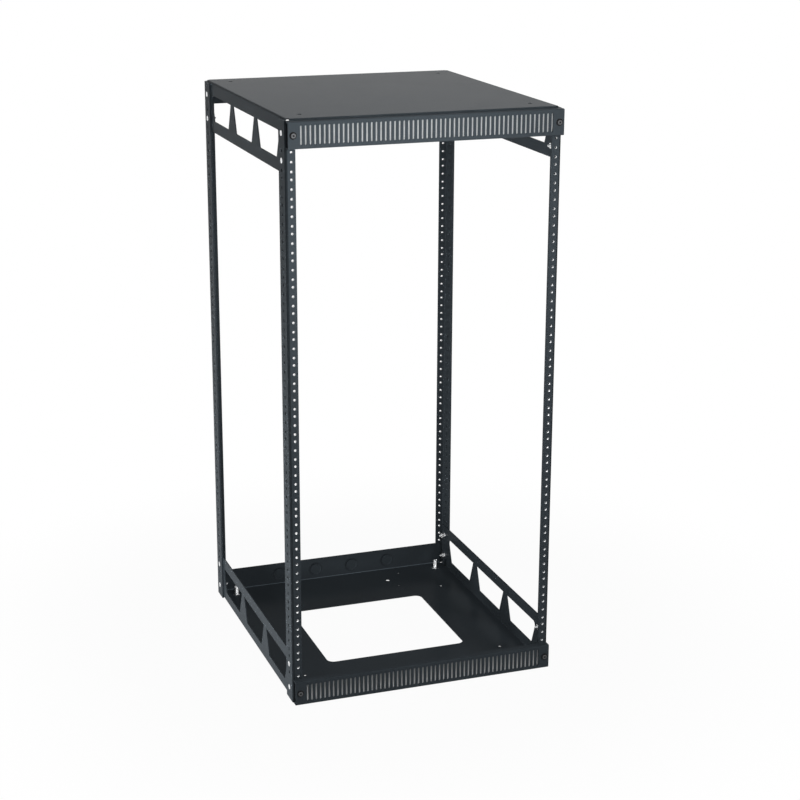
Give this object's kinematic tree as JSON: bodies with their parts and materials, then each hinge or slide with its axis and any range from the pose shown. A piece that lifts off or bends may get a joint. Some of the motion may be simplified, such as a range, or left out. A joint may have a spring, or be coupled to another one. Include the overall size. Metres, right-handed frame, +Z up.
{
  "type": "open-frame equipment rack",
  "caption": "Four-post open equipment rack: angle posts with tapped rail holes, folded top and base pans with trussed sides, and slotted panels in front.",
  "frame": {"origin": "middle of the footprint of the whole rack, on the floor", "axes": "+Z up; front, with the slotted panels, towards -Y; +X to the right seen from the front"},
  "size_m": [0.4876, 0.5488, 1.0251],
  "materials": {
    "powder_coat": "satin fine-texture powder coat over sheet steel",
    "zinc_hardware": "bright zinc plate",
    "black_screw": "black oxide",
    "filter_mat": "pale grey felted filter mat"
  },
  "bodies": {
    "root": {"base_left_panel_screw": "black_screw", "base_pan": "powder_coat", "base_right_panel_screw": "black_screw", "base_vent_filter": "filter_mat", "base_vent_panel": "powder_coat", "front_left_base_bolts": "zinc_hardware", "front_left_base_nuts": "zinc_hardware", "front_left_caster_nut": "zinc_hardware", "front_left_post": "powder_coat", "front_left_top_bolts": "zinc_hardware", "front_left_top_nuts": "zinc_hardware", "front_right_base_bolts": "zinc_hardware", "front_right_base_nuts": "zinc_hardware", "front_right_caster_nut": "zinc_hardware", "front_right_post": "powder_coat", "front_right_top_bolts": "zinc_hardware", "front_right_top_nuts": "zinc_hardware", "rear_left_base_bolts": "zinc_hardware", "rear_left_base_nuts": "zinc_hardware", "rear_left_caster_nut": "zinc_hardware", "rear_left_post": "powder_coat", "rear_left_top_bolts": "zinc_hardware", "rear_left_top_nuts": "zinc_hardware", "rear_right_base_bolts": "zinc_hardware", "rear_right_base_nuts": "zinc_hardware", "rear_right_caster_nut": "zinc_hardware", "rear_right_post": "powder_coat", "rear_right_top_bolts": "zinc_hardware", "rear_right_top_nuts": "zinc_hardware", "top_left_panel_screw": "black_screw", "top_pan": "powder_coat", "top_right_panel_screw": "black_screw", "top_vent_filter": "filter_mat", "top_vent_panel": "powder_coat"}
  },
  "joints": []
}
